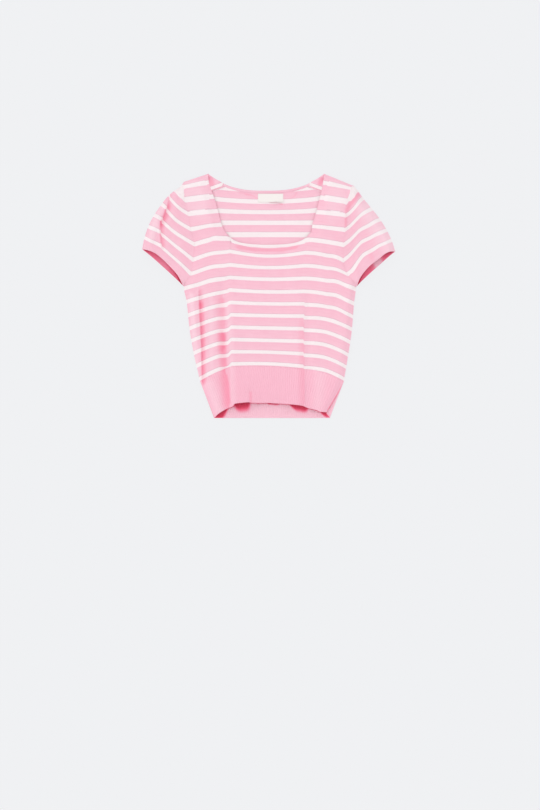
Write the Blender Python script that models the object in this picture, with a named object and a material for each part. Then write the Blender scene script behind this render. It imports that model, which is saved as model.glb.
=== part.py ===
"""Square-neck sweater in striped knit, short sleeved, with a deep ribbed hem, laid flat with its front up.

The back lies flat on the surface and the front lies on it. All sizes below are in millimetres, and the
meshes are in metres. X runs across the garment, Y from the hem to the neck and Z up.

Every point of the knit has a course number: it grows by one from each white stripe to the next, from the
shoulders to the ribbed hem, and it goes on across the armhole seam onto the sleeve.
"""
from math import cos, pi, sin

import bpy
import numpy as np

MM = 0.001

# Cloth
WALL = 1.8                  # thickness of the knit
SEAM = 0.3                  # gap between two pieces along a seam
BODY_LOFT = 8.5             # how far the front stands off the back inside the body
SLEEVE_LOFT = 11.0          # the same, in the puffed sleeves
SLEEVE_FROM, SLEEVE_TO = 150.0, 195.0   # distance from the middle over which the loft grows
LOWEST_LOFT = 1.2           # the deepest fold leaves this gap
EDGE_ROLL = 15.0            # width over which the front comes down to the back at a closed edge
FOLD_RADIUS = WALL + SEAM / 2           # outside of the knit where it turns over from front to back

# Courses where something starts or ends
SHOULDER, NECK_CORNER, UNDERARM, RIB_TOP = -3.7, 0.45, 3.85, 11.2
CUFF = 4.0
UNDERARM_STEP = 1.8         # the cuff's inner end lies this far out from and above the underarm

# The front: course, left edge, left neck or fold line, middle, right neck or fold line, right edge
FRONT_COLUMNS = ("course", "left_x", "left_y", "a_x", "a_y", "mid_y", "b_x", "b_y", "right_x", "right_y")
FRONT = [
    (-3.7, -182.0, 245.0, -131.0, 262.0, 250.0, 120.0, 262.0, 178.0, 238.0),
    (-3.0, -184.0, 233.5, -129.0, 244.0, 234.0, 117.0, 243.0, 177.5, 231.0),
    (-2.0, -180.0, 205.0, -118.0, 213.0, 206.0, 110.0, 211.0, 167.0, 202.0),
    (-1.0, -172.0, 175.0, -109.0, 182.0, 175.0, 102.0, 180.0, 165.0, 173.0),
    (0.0, -167.0, 142.0, -101.0, 153.0, 140.0, 93.0, 149.0, 163.0, 141.0),
    (0.45, -164.0, 128.0, -95.0, 140.0, 123.0, 92.0, 139.0, 162.0, 127.0),
    (1.0, -159.0, 110.0, -83.0, 121.0, 107.0, 80.0, 120.0, 161.0, 109.0),
    (2.0, -163.0, 77.0, -83.0, 95.0, 85.0, 78.0, 92.0, 160.0, 74.0),
    (3.0, -167.0, 47.0, -83.0, 66.0, 60.0, 76.0, 64.0, 169.0, 46.0),
    (3.85, -182.0, 20.0, -83.0, 43.0, 39.0, 74.0, 41.0, 187.0, 19.0),
    (5.0, -176.0, -13.0, -83.0, 12.0, 8.0, 74.0, 9.0, 183.0, -17.0),
    (7.0, -170.0, -70.0, -83.0, -41.0, -43.0, 74.0, -44.0, 178.5, -72.0),
    (9.0, -161.0, -123.0, -83.0, -94.0, -96.0, 74.0, -98.0, 170.5, -127.0),
    (11.2, -147.0, -184.0, -83.0, -152.0, -151.0, 74.0, -157.0, 161.0, -184.0),
]
STRAP_DROOP = 1.0           # stripes run straight across the straps
LEFT_DROOP = 1.15           # and curve down to the side edges below them
RIGHT_DROOP = 1.9

# The sleeves: course, outer fold, and how far the stripe bows up from a straight line
SLEEVE_COLUMNS = ("course", "out_x", "out_y", "bow")
LEFT_SLEEVE = [
    (-3.7, -186.5, 238.0, 0.0),
    (-3.0, -192.0, 233.5, 0.0),
    (-2.0, -201.0, 227.5, -1.0),
    (-1.0, -217.0, 214.0, -4.0),
    (0.0, -232.0, 195.0, -5.0),
    (1.0, -247.0, 173.0, -4.0),
    (2.0, -259.0, 149.0, 1.5),
    (3.0, -267.0, 125.0, 4.0),
    (4.0, -272.5, 101.0, 10.0),
]
RIGHT_SLEEVE = [
    (-3.7, 183.5, 236.0, 0.0),
    (-3.0, 186.0, 233.0, 0.0),
    (-2.0, 190.0, 228.0, 0.0),
    (-1.0, 203.0, 210.0, 0.0),
    (0.0, 222.0, 187.0, 4.0),
    (1.0, 240.0, 164.0, 7.0),
    (2.0, 254.0, 141.0, 11.0),
    (3.0, 264.5, 119.0, 12.0),
    (4.0, 272.5, 96.0, 13.0),
]

# How far the upper edge of each cuff rises off the straight line from the armhole (q is 0) to the fold (1)
LEFT_CUFF = [
    (0.0, 0.0), (0.08, 4.5), (0.19, 9.0), (0.3, 11.2), (0.45, 12.7), (0.62, 13.5), (0.73, 12.8), (0.82, 10.3),
    (0.9, 6.3), (0.96, 2.8), (1.0, 0.0),
]
RIGHT_CUFF = [
    (0.0, 0.0), (0.08, 5.0), (0.16, 9.0), (0.3, 12.5), (0.45, 14.0), (0.57, 12.9), (0.68, 11.8), (0.78, 11.5),
    (0.86, 9.8), (0.92, 7.0), (0.97, 2.8), (1.0, 0.0),
]
UNDER_BOW = 0.12            # share of it in the edge of the cuff's underside

# The scoops of the neck, each a soft round of the first depth and a square corner of the second
FRONT_NECK = {"middle_x": -1.5, "half_width": 93.5, "bottom_y": 110.0,
              "round": 9.0, "corner": 21.0, "power": 6.4}
BACK_NECK = {"middle_x": -5.5, "half_width": 125.5, "bottom_y": 225.5,
             "round": 0.0, "corner": 36.5, "power": 2.75}

# The ribbed hem
RIB_COUNT = 62              # ribs across the front
RIB_HEIGHT = 0.8            # how far they stand out of the wall
HEM_LEFT, HEM_RIGHT = -117.0, 131.0
FRONT_HEM_RIGHT = 124.5     # the back of the hem shows outside the front here
BACK_HEM_Y = -262.0
RIGHT_BOW = 1.8             # the front's right edge bows outwards a little
# The front hem's edge, which sags in waves and opens over the back: x and y
HEM_LINE = [
    (-117.0, -261.0), (-110.0, -253.8), (-100.5, -247.2), (-87.6, -240.2), (-78.5, -237.0), (-72.5, -230.6),
    (-57.5, -228.6), (-43.5, -227.5), (-36.0, -228.7), (-14.5, -229.2), (-1.6, -229.0), (10.0, -229.8),
    (24.2, -230.5), (45.7, -231.9), (62.9, -233.5), (72.0, -235.0), (85.5, -240.2), (102.7, -244.5),
    (111.3, -248.0), (124.5, -249.0),
]

# The largest folds of the front layer: name, from_x, from_y, to_x, to_y, half_width and rise. A trough's
# rise is below 0.
FOLDS = [
    ("left strip", -158.0, -20.0, -151.0, -170.0, 8.0, 1.5),
    ("left crease", -146.0, -5.0, -143.0, -188.0, 7.0, -5.5),
    ("left ridge", -122.0, -15.0, -121.0, -190.0, 15.0, 1.5),
    ("left valley", -98.0, 20.0, -91.0, -236.0, 12.0, -4.2),
    ("left shelf", -80.0, 0.0, -76.0, -225.0, 12.0, 1.8),
    ("right shelf", 68.0, -10.0, 69.0, -225.0, 12.0, 1.5),
    ("right step", 82.0, -5.0, 84.0, -232.0, 12.0, -3.2),
    ("left sleeve crease upper", -203.0, 207.0, -224.0, 172.0, 11.0, -5.0),
    ("left sleeve crease lower", -228.0, 165.0, -236.0, 118.0, 11.0, -4.5),
    ("left shoulder puff", -192.0, 205.0, -200.0, 180.0, 14.0, 2.5),
    ("right shoulder crease", 171.0, 226.0, 174.0, 150.0, 10.0, -3.5),
    ("right shoulder puff", 192.0, 200.0, 205.0, 160.0, 16.0, 2.0),
    ("left armhole low", -160.0, 120.0, -170.0, 45.0, 12.0, -3.0),
    ("right armhole low", 162.0, 118.0, 171.0, 45.0, 12.0, -3.0),
    ("under the neck", -45.0, 97.0, 45.0, 97.0, 12.0, -2.0),
    ("left hem pocket", -58.0, -205.0, -58.0, -240.0, 24.0, 4.0),
    ("right hem pocket", 63.0, -205.0, 63.0, -240.0, 22.0, 2.5),
    ("middle of the hem", -12.0, -236.0, 22.0, -236.0, 15.0, -3.0),
]

LABEL = {"x": 3.5, "y": 209.5, "width": 54.0, "height": 18.0, "thickness": 0.9}

# How finely the solids are cut up
STRAP_ROWS, ARMHOLE_ROWS, BODY_ROWS = 7, 6, 9
SIDE_COLUMNS, MIDDLE_COLUMNS = 15, 14
SLEEVE_STEPS = (0.0, 0.05, 0.12, 0.21, 0.32, 0.44, 0.57, 0.71, 0.86, 1.0)
TURN_STEPS = 3
TURN_PROBE = 0.01           # share of a sleeve's row over which its direction at the fold is read
RIB_ROWS = 5


def column(table, names, name):
    """One named column of a table, as an array."""
    return np.array([row[names.index(name)] for row in table])


def smooth_through(xs, ys, at):
    """A smooth curve through the points that never overshoots them (monotone cubic)."""
    xs, ys, at = np.asarray(xs, float), np.asarray(ys, float), np.asarray(at, float)
    step = np.diff(xs)
    slope = np.diff(ys) / step
    tangent = np.zeros_like(ys)
    tangent[0], tangent[-1] = slope[0], slope[-1]
    same_way = slope[:-1] * slope[1:] > 0
    safe = np.where(same_way, slope[:-1] + slope[1:], 1.0)
    tangent[1:-1] = np.where(same_way, 2 * slope[:-1] * slope[1:] / safe, 0.0)
    place = np.clip(np.searchsorted(xs, at, side="right") - 1, 0, len(step) - 1)
    t = (at - xs[place]) / step[place]
    t2, t3 = t * t, t * t * t
    return ((2 * t3 - 3 * t2 + 1) * ys[place] + (t3 - 2 * t2 + t) * step[place] * tangent[place]
            + (3 * t2 - 2 * t3) * ys[place + 1] + (t3 - t2) * step[place] * tangent[place + 1])


def front_value(name, course):
    return smooth_through(column(FRONT, FRONT_COLUMNS, "course"), column(FRONT, FRONT_COLUMNS, name), course)


def side_line(name, courses):
    """Points of the left or right edge, or of the neck line a or b, at some courses."""
    return [(float(front_value(name + "_x", c)), float(front_value(name + "_y", c))) for c in courses]


def front_point(u, course):
    """A point of the front. u is 0 at the left edge, 1 and 3 at the neck lines and 4 at the right edge."""
    u, course = np.broadcast_arrays(np.asarray(u, float), np.asarray(course, float))
    value = {name: front_value(name, course) for name in FRONT_COLUMNS[1:]}
    below = np.clip((course - NECK_CORNER) / 1.5, 0.0, 1.0)
    left = 1 - np.clip(u, 0, 1)
    right = np.clip(u - 3, 0, 1)
    across = np.clip((u - 1) / 2, 0, 1)
    x = value["a_x"] + (value["b_x"] - value["a_x"]) * across
    y = value["a_y"] + (value["b_y"] - value["a_y"]) * across
    dip = (value["a_y"] + value["b_y"]) / 2 - value["mid_y"]
    y = y - dip * np.sin(pi * across)
    x = x + (value["left_x"] - value["a_x"]) * left + (value["right_x"] - value["b_x"]) * right
    y = y + (value["left_y"] - value["a_y"]) * left ** (STRAP_DROOP + (LEFT_DROOP - STRAP_DROOP) * below)
    y = y + (value["right_y"] - value["b_y"]) * right ** (STRAP_DROOP + (RIGHT_DROOP - STRAP_DROOP) * below)
    return x, y


def scoop(neck, x):
    """Height of a neckline at x."""
    across = np.clip(np.abs(np.asarray(x, float) - neck["middle_x"]) / neck["half_width"], 0, 1)
    return neck["bottom_y"] + neck["round"] * across ** 2 + neck["corner"] * across ** neck["power"]


def hem_y(x):
    """The front hem's edge at x."""
    xs, ys = column(HEM_LINE, ("x", "y"), "x"), column(HEM_LINE, ("x", "y"), "y")
    return smooth_through(xs, ys, np.clip(np.asarray(x, float), xs[0], xs[-1]))


def sleeve_point(table, side, course, q, bowed=1.0):
    """A point of a sleeve and its row's length. q is 0 at the armhole seam and 1 at the outer fold."""
    courses = column(table, SLEEVE_COLUMNS, "course")
    course = np.asarray(course, float)
    name = "left" if side < 0 else "right"
    seam_course = np.minimum(course, UNDERARM)
    seam_x, seam_y = front_value(name + "_x", seam_course), front_value(name + "_y", seam_course)
    past = np.clip((course - UNDERARM) / (CUFF - UNDERARM), 0, 1)
    seam_x, seam_y = seam_x + side * UNDERARM_STEP * past, seam_y + UNDERARM_STEP * past
    out_x = smooth_through(courses, column(table, SLEEVE_COLUMNS, "out_x"), course)
    out_y = smooth_through(courses, column(table, SLEEVE_COLUMNS, "out_y"), course)
    bow = smooth_through(courses, column(table, SLEEVE_COLUMNS, "bow"), course)
    run_x, run_y = out_x - seam_x, out_y - seam_y
    length = np.hypot(run_x, run_y)
    hump = bow * np.sin(pi * q)
    edge = LEFT_CUFF if side < 0 else RIGHT_CUFF
    at_edge = smooth_through(column(edge, ("q", "rise"), "q"), column(edge, ("q", "rise"), "rise"), q)
    hump = (hump + (at_edge - hump) * np.clip(course - 3.0, 0.0, 1.0)) * bowed
    x = seam_x + run_x * q - side * run_y / length * hump
    y = seam_y + run_y * q + side * run_x / length * hump
    return x, y, length


def closed_edges():
    """The garment's closed outline: shoulders, outer folds of the sleeves and sides, in two lines a side."""
    lines = []
    for side, name, peak, table in ((-1, "left", "a", LEFT_SLEEVE), (1, "right", "b", RIGHT_SLEEVE)):
        outer = side_line(peak, [SHOULDER]) + side_line(name, [SHOULDER])
        for course in np.linspace(SHOULDER, CUFF, 12):
            x, y, _ = sleeve_point(table, side, course, 1.0)
            outer.append((float(x), float(y)))
        lower = side_line(name, np.linspace(UNDERARM, RIB_TOP, 6))
        lower.append((HEM_LEFT, BACK_HEM_Y) if side < 0 else (FRONT_HEM_RIGHT + 3.0, BACK_HEM_Y + 8.0))
        lines += [outer, lower]
    return lines


def distance_to_line(x, y, ax, ay, bx, by):
    """Distance from points to the segment from a to b."""
    length2 = (bx - ax) ** 2 + (by - ay) ** 2
    t = np.clip(((x - ax) * (bx - ax) + (y - ay) * (by - ay)) / length2, 0, 1)
    return np.hypot(x - ax - t * (bx - ax), y - ay - t * (by - ay))


EDGES = closed_edges()


def lift(x, y):
    """Gap between the back's inside and the front layer's inside, with the loft and the folds."""
    x, y = np.asarray(x, float), np.asarray(y, float)
    edge = np.full(np.broadcast(x, y).shape, 1e9)
    for line in EDGES:
        for (ax, ay), (bx, by) in zip(line[:-1], line[1:]):
            edge = np.minimum(edge, distance_to_line(x, y, ax, ay, bx, by))
    inward = np.clip((edge - FOLD_RADIUS) / EDGE_ROLL, 0, 1)
    outward = np.clip((np.abs(x) - SLEEVE_FROM) / (SLEEVE_TO - SLEEVE_FROM), 0, 1)
    height = BODY_LOFT + (SLEEVE_LOFT - BODY_LOFT) * outward ** 2 * (3 - 2 * outward)
    for _, ax, ay, bx, by, half_width, rise in FOLDS:
        away = np.clip(distance_to_line(x, y, ax, ay, bx, by) / (2 * half_width), 0, 1)
        height = height + rise * (1 - away ** 2) ** 3
    return SEAM + np.sin(pi / 2 * inward) * np.maximum(height, LOWEST_LOFT)


def new_object(name, vertices, faces, colour):
    """A mesh object in metres from points in millimetres, with its material."""
    mesh = bpy.data.meshes.new(name)
    mesh.from_pydata([tuple(float(value) * MM for value in point) for point in vertices], [], faces)
    mesh.update()
    material = bpy.data.materials.new(name)
    material.use_nodes = True
    shader = material.node_tree.nodes["Principled BSDF"]
    shader.inputs["Base Color"].default_value = colour
    shader.inputs["Roughness"].default_value = 0.9
    shader.inputs["Metallic"].default_value = 0.0
    mesh.materials.append(material)
    piece = bpy.data.objects.new(name, mesh)
    bpy.context.scene.collection.objects.link(piece)
    return piece


def wall(name, outer, inner, present, colour):
    """A closed wall between two grids of points. present says which cells of the grid exist."""
    rows, columns = present.shape
    used, vertices = {}, []

    def index(skin, i, j):
        key = (skin, i, j)
        if key not in used:
            used[key] = len(vertices)
            vertices.append(tuple((outer if skin == 0 else inner)[i][j]))
        return used[key]

    def there(i, j):
        return 0 <= i < rows and 0 <= j < columns and present[i, j]

    faces = []
    for i in range(rows):
        for j in range(columns):
            if not present[i, j]:
                continue
            ring = [(i, j), (i + 1, j), (i + 1, j + 1), (i, j + 1)]
            faces.append([index(0, *corner) for corner in ring])
            faces.append([index(1, *corner) for corner in reversed(ring)])
            beside = [(i, j - 1), (i + 1, j), (i, j + 1), (i - 1, j)]
            for k, neighbour in enumerate(beside):
                if not there(*neighbour):
                    a, b = ring[k], ring[(k + 1) % 4]
                    faces.append([index(0, *b), index(0, *a), index(1, *a), index(1, *b)])
    return new_object(name, vertices, faces, colour)


def plate(name, outline, low, high, colour):
    """A flat piece between two heights, from its outline in anticlockwise order."""
    count = len(outline)
    vertices = [(x, y, low) for x, y in outline] + [(x, y, high) for x, y in outline]
    faces = [list(reversed(range(count))), list(range(count, 2 * count))]
    faces += [[k, (k + 1) % count, count + (k + 1) % count, count + k] for k in range(count)]
    return new_object(name, vertices, faces, colour)


def course_rows():
    """The courses at which the panels and sleeves are cut up, from the shoulder down."""
    return (list(np.linspace(SHOULDER, NECK_CORNER, STRAP_ROWS + 1))
            + list(np.linspace(NECK_CORNER, UNDERARM, ARMHOLE_ROWS + 1))[1:]
            + list(np.linspace(UNDERARM, RIB_TOP, BODY_ROWS + 1))[1:])


def make_front(colour):
    """The front: two straps and the body below the scoop, down to the ribbed hem."""
    courses = course_rows()
    us = list(np.linspace(0, 1, SIDE_COLUMNS + 1)) + list(np.linspace(1, 3, MIDDLE_COLUMNS + 1))[1:]
    us += list(np.linspace(3, 4, SIDE_COLUMNS + 1))[1:]
    middle_from, middle_to = SIDE_COLUMNS, SIDE_COLUMNS + MIDDLE_COLUMNS
    outer = np.zeros((len(courses), len(us), 3))
    for j, u in enumerate(us):
        course = np.array(courses)
        if middle_from < j < middle_to:
            probe = np.linspace(NECK_CORNER - 0.5, 2.0, 200)
            probe_x, probe_y = front_point(u, probe)
            above = probe_y - scoop(FRONT_NECK, probe_x)
            top = float(np.interp(0.0, above[::-1], probe[::-1]))
            share = (course - NECK_CORNER) / (RIB_TOP - NECK_CORNER)
            course = np.where(share < 0, top, top + share * (RIB_TOP - top))
        outer[:, j, 0], outer[:, j, 1] = front_point(u, course)
    outer[:, :, 2] = WALL + lift(outer[:, :, 0], outer[:, :, 1])
    inner = outer.copy()
    outer[:, :, 2] += WALL
    present = np.ones((len(courses) - 1, len(us) - 1), bool)
    present[:STRAP_ROWS, middle_from:middle_to] = False
    return wall("front_panel", outer, inner, present, colour)


def make_back(colour):
    """The back, flat, up to the shoulders and the shallow back neckline."""
    courses = course_rows()
    left, right = side_line("left", courses), side_line("right", courses)
    peaks = [BACK_NECK["middle_x"] + side * BACK_NECK["half_width"] for side in (1, -1)]
    neck = [(x, float(scoop(BACK_NECK, x))) for x in np.linspace(peaks[0], peaks[1], 29)]
    outline = left + list(reversed(right)) + neck
    return plate("back_panel", outline, 0.0, WALL, colour)


def make_sleeve(name, table, side, colour):
    """A sleeve: from the armhole over the top to the outer fold, round it, and back along the underside."""
    courses = [course for course in course_rows() if course < UNDERARM] + [UNDERARM, CUFF]
    outer, inner = [], []
    for course in courses:
        _, _, length = sleeve_point(table, side, course, 0.0)
        start, end = SEAM / length, 1 - FOLD_RADIUS / length
        steps = [end - (end - start) * step for step in SLEEVE_STEPS]
        out_row, in_row = [], []
        for q in reversed(steps):
            x, y, _ = sleeve_point(table, side, course, q)
            gap = float(lift(x, y)) if q < end else SEAM
            in_row.append((x, y, WALL + gap))
            out_row.append((x, y, 2 * WALL + gap))
        turn = np.array(sleeve_point(table, side, course, end)[:2])
        run = turn - np.array(sleeve_point(table, side, course, end - TURN_PROBE)[:2])
        run = run / np.hypot(*run)
        for angle in np.linspace(pi / 2, -pi / 2, TURN_STEPS + 1)[1:-1]:
            for row, radius in ((out_row, FOLD_RADIUS), (in_row, SEAM / 2)):
                x, y = turn + run * radius * cos(angle)
                row.append((x, y, FOLD_RADIUS + radius * sin(angle)))
        for q in steps:
            x, y, _ = sleeve_point(table, side, course, q, 1.0 if course < UNDERARM else UNDER_BOW)
            in_row.append((x, y, WALL))
            out_row.append((x, y, 0.0))
        outer.append(out_row)
        inner.append(in_row)
    outer, inner = np.array(outer, float), np.array(inner, float)
    if side < 0:
        outer, inner = outer[:, ::-1], inner[:, ::-1]
    present = np.ones((len(courses) - 1, outer.shape[1] - 1), bool)
    return wall(name, outer, inner, present, colour)


def rib_frame(across):
    """Top and bottom of the front rib at a share of the width."""
    across = np.asarray(across, float)
    top_x, top_y = front_point(4 * across, RIB_TOP)
    bottom_x = HEM_LEFT + (FRONT_HEM_RIGHT - HEM_LEFT) * across
    return top_x, top_y - SEAM, bottom_x, hem_y(bottom_x)


def make_front_rib(colour):
    """The front of the hem, with its ribs raised on the outside."""
    count = 2 * RIB_COUNT + 1
    top_x, top_y, bottom_x, bottom_y = rib_frame(np.linspace(0, 1, count))
    across = np.linspace(0, 1, count)
    outer = np.zeros((RIB_ROWS + 1, count, 3))
    for i, share in enumerate(np.linspace(0, 1, RIB_ROWS + 1)):
        bow = RIGHT_BOW * sin(pi * share) * np.clip(5 * across - 4, 0, 1)
        outer[i, :, 0] = top_x + (bottom_x - top_x) * share + bow
        outer[i, :, 1] = top_y + (bottom_y - top_y) * share
    outer[:, :, 2] = WALL + lift(outer[:, :, 0], outer[:, :, 1])
    inner = outer.copy()
    outer[:, :, 2] += WALL
    outer[:, 1::2, 2] += RIB_HEIGHT
    present = np.ones((RIB_ROWS, count - 1), bool)
    return wall("hem_rib_front", outer, inner, present, colour)


def make_back_rib(colour):
    """The back of the hem, flat, a little longer than the front."""
    left_x, left_y = (float(front_value("left_" + axis, RIB_TOP)) for axis in "xy")
    right_x, right_y = (float(front_value("right_" + axis, RIB_TOP)) for axis in "xy")
    outline = [(left_x, left_y - SEAM), (HEM_LEFT - 1.0, BACK_HEM_Y + 1.5), (HEM_LEFT + 1.0, BACK_HEM_Y),
               (HEM_RIGHT - 1.0, BACK_HEM_Y), (HEM_RIGHT + 1.0, BACK_HEM_Y + 1.5), (right_x, right_y - SEAM)]
    return plate("hem_rib_back", outline, 0.0, WALL, colour)


def make_label(colour):
    """The blank label sewn inside the back neck."""
    half_width, half_height = LABEL["width"] / 2, LABEL["height"] / 2
    outline = [(LABEL["x"] + sx * half_width, LABEL["y"] + sy * half_height)
               for sx, sy in ((-1, -1), (1, -1), (1, 1), (-1, 1))]
    return plate("neck_label", outline, WALL + SEAM, WALL + SEAM + LABEL["thickness"], colour)


def main():
    for leftover in list(bpy.data.objects):
        bpy.data.objects.remove(leftover, do_unlink=True)
    pink = (0.973, 0.539, 0.651, 1.0)
    rib_pink = (0.965, 0.503, 0.612, 1.0)
    off_white = (0.93, 0.90, 0.86, 1.0)
    make_back(pink)
    make_front(pink)
    make_sleeve("sleeve_left", LEFT_SLEEVE, -1, pink)
    make_sleeve("sleeve_right", RIGHT_SLEEVE, 1, pink)
    make_back_rib(rib_pink)
    make_front_rib(rib_pink)
    make_label(off_white)


main()
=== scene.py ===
from math import cos, pi, radians, sin

import bpy
import numpy as np
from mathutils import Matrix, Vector


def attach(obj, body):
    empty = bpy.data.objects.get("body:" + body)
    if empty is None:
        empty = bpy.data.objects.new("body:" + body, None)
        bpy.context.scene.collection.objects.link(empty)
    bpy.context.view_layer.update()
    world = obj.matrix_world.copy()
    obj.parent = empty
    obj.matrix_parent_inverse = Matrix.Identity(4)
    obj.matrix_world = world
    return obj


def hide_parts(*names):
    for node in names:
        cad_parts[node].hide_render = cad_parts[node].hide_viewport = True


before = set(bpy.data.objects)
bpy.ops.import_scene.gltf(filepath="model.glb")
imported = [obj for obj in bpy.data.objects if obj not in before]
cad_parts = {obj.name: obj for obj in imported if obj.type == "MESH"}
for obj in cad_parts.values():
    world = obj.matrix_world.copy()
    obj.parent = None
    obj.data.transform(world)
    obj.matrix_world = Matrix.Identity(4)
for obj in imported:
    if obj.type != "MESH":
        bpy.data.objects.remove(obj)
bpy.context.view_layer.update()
print("frame loaded:", sorted(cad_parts))

mm = 0.001

# Everything about the cloth is in millimetres. A course number grows by one from white stripe to the next.
cloth = {
    "wall": 1.8,
    "seam": 0.3,
    "stripePitch": 26.0,
    "bodyLoft": 8.5,
    "sleeveLoft": 11.0,
    "loftChange": (150.0, 195.0),      # between these distances from the middle
    "lowest": 0.1,
    "edgeRoll": 15.0,
    "ripple": 0.35,         # small unevenness all over
    "shoulder": -3.7,       # this and the next four are course numbers
    "neckCorner": 0.45,
    "underarm": 3.85,
    "cuff": 4.0,
    "ribTop": 11.2,
    "rowStep": 0.09,        # courses to a row of the mesh
    "sharpAngle": 50.0,
}
cloth["foldRadius"] = cloth["wall"] + cloth["seam"] / 2

# course, left edge x y, left neck line x y, middle y, right neck line x y, right edge x y
frontRows = np.array([
    (-3.7, -182, 245, -131, 262, 250, 120, 262, 178, 238),
    (-3, -184, 233.5, -129, 244, 234, 117, 243, 177.5, 231),
    (-2, -180, 205, -118, 213, 206, 110, 211, 167, 202),
    (-1, -172, 175, -109, 182, 175, 102, 180, 165, 173),
    (0, -167, 142, -101, 153, 140, 93, 149, 163, 141),
    (0.45, -164, 128, -95, 140, 123, 92, 139, 162, 127),
    (1, -159, 110, -83, 121, 107, 80, 120, 161, 109),
    (2, -163, 77, -83, 95, 85, 78, 92, 160, 74),
    (3, -167, 47, -83, 66, 60, 76, 64, 169, 46),
    (3.85, -182, 20, -83, 43, 39, 74, 41, 187, 19),
    (5, -176, -13, -83, 12, 8, 74, 9, 183, -17),
    (7, -170, -70, -83, -41, -43, 74, -44, 178.5, -72),
    (9, -161, -123, -83, -94, -96, 74, -98, 170.5, -127),
    (11.2, -147, -184, -83, -152, -151, 74, -157, 161, -184),
])
frontColumns = ("course", "leftX", "leftY", "aX", "aY", "midY", "bX", "bY", "rightX", "rightY")

# how the stripes run down to the side edges, by a power; the strap's changes to the body's over some courses
droop = {"strap": 1, "left": 1.15, "right": 1.9, "change": 1.5}

# how far a rim stands out, as a share of half the wall
rimRound = {"sewn": 0.15, "open": 1, "cuff": 0.6, "ribbon": 0.8}

# course, outer fold x y, bow of the stripe
sleeveRows = {
    -1: np.array([
        (-3.7, -186.5, 238, 0), (-3, -192, 233.5, 0), (-2, -201, 227.5, -1),
        (-1, -217, 214, -4), (0, -232, 195, -5), (1, -247, 173, -4),
        (2, -259, 149, 1.5), (3, -267, 125, 4), (4, -272.5, 101, 10),
    ]),
    1: np.array([
        (-3.7, 183.5, 236, 0), (-3, 186, 233, 0), (-2, 190, 228, 0),
        (-1, 203, 210, 0), (0, 222, 187, 4), (1, 240, 164, 7),
        (2, 254, 141, 11), (3, 264.5, 119, 12), (4, 272.5, 96, 13),
    ]),
}

# rise of the cuff's upper edge off the straight line from the armhole (0) to the fold (1)
cuffRise = {
    -1: np.array([
        (0, 0), (0.08, 4.5), (0.19, 9), (0.3, 11.2), (0.45, 12.7), (0.62, 13.5), (0.73, 12.8),
        (0.82, 10.3), (0.9, 6.3), (0.96, 2.8), (1, 0),
    ]),
    1: np.array([
        (0, 0), (0.08, 5), (0.16, 9), (0.3, 12.5), (0.45, 14), (0.57, 12.9), (0.68, 11.8),
        (0.78, 11.5), (0.86, 9.8), (0.92, 7), (0.97, 2.8), (1, 0),
    ]),
}

# painted shade inside a cuff, from the armhole (0) to the fold (1)
cuffPaintedShade = {
    -1: np.array([
        (0, 2.4), (0.05, 2.2), (0.1, 1.6), (0.3, 1.3), (0.5, 1), (0.7, 1.4), (0.85, 1.7), (0.93, 2.2),
        (1, 2.4),
    ]),
    1: np.array([
        (0, 2), (0.15, 1.6), (0.4, 1.6), (0.47, 1.3), (0.54, 0.1), (0.65, 0.1), (0.72, 1.5), (0.8, 1.9),
        (1, 2.1),
    ]),
}

# a scoop rises from its bottom by a soft round and by a corner of a higher power
frontNeck = {"middleX": -1.5, "halfWidth": 93.5, "bottomY": 110, "round": 9, "corner": 21, "power": 6.4}
backNeck = {"middleX": -5.5, "halfWidth": 125.5, "bottomY": 225.5, "round": 0, "corner": 36.5, "power": 2.75}

hem = {
    "ribs": 62,
    "ribHeight": 0.55,
    "backRibHeight": 0.5,
    "valleyRise": 0.4,         # how far the wall is hollowed from below between two ribs
    "left": -117,
    "right": 131,
    "frontRight": 124.5,       # the back shows outside the front here
    "backY": -262,
    "backRise": 0.9,           # the back rib ends this far above backY
    "backSpread": 0.5,         # and reaches this far past left and right
    "rightCorner": (127.5, -254),
    "rightBow": 1.8,
    "firstCourse": 12,
    "courses": 3,
    "stepsToRib": 8,
    "rows": 34,
    # painted shade on the front rib's inside face
    "insidePaintedShade": 1.6,
}
hemLine = np.array([
    (-117, -261), (-110, -253.8), (-100.5, -247.2), (-87.6, -240.2), (-78.5, -237), (-72.5, -230.6),
    (-57.5, -228.6), (-43.5, -227.5), (-36, -228.7), (-14.5, -229.2), (-1.6, -229), (10, -229.8),
    (24.2, -230.5), (45.7, -231.9), (62.9, -233.5), (72, -235), (85.5, -240.2), (102.7, -244.5),
    (111.3, -248), (124.5, -249),
])

# from x y, to x y, half width, rise (a trough is below 0); the larger ones are in the solids too
folds = np.array([
    (-158, -20, -151, -170, 8, 1.5),       # strip outside the left crease
    (-146, -5, -143, -188, 7, -5.5),       # the left crease
    (-122, -15, -121, -190, 15, 1.5),
    (-98, 20, -91, -236, 12, -4.2),        # soft valley down into the rib
    (-80, 0, -76, -225, 12, 1.8),
    (68, -10, 69, -225, 12, 1.5),
    (82, -5, 84, -232, 12, -3.2),          # the right step
    (-203, 207, -224, 172, 11, -5),      # crease of the left sleeve
    (-228, 165, -236, 118, 11, -4.5),
    (-192, 205, -200, 180, 14, 2.5),
    (171, 226, 174, 150, 10, -3.5),        # crease of the right shoulder
    (192, 200, 205, 160, 16, 2),
    (-160, 120, -170, 45, 12, -3),
    (162, 118, 171, 45, 12, -3),
    (-45, 97, 45, 97, 12, -2),           # just below the scoop
    (-58, -205, -58, -240, 24, 4),       # pockets of the hem
    (63, -205, 63, -240, 22, 2.5),
    (-12, -236, 22, -236, 15, -3),
])

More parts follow.
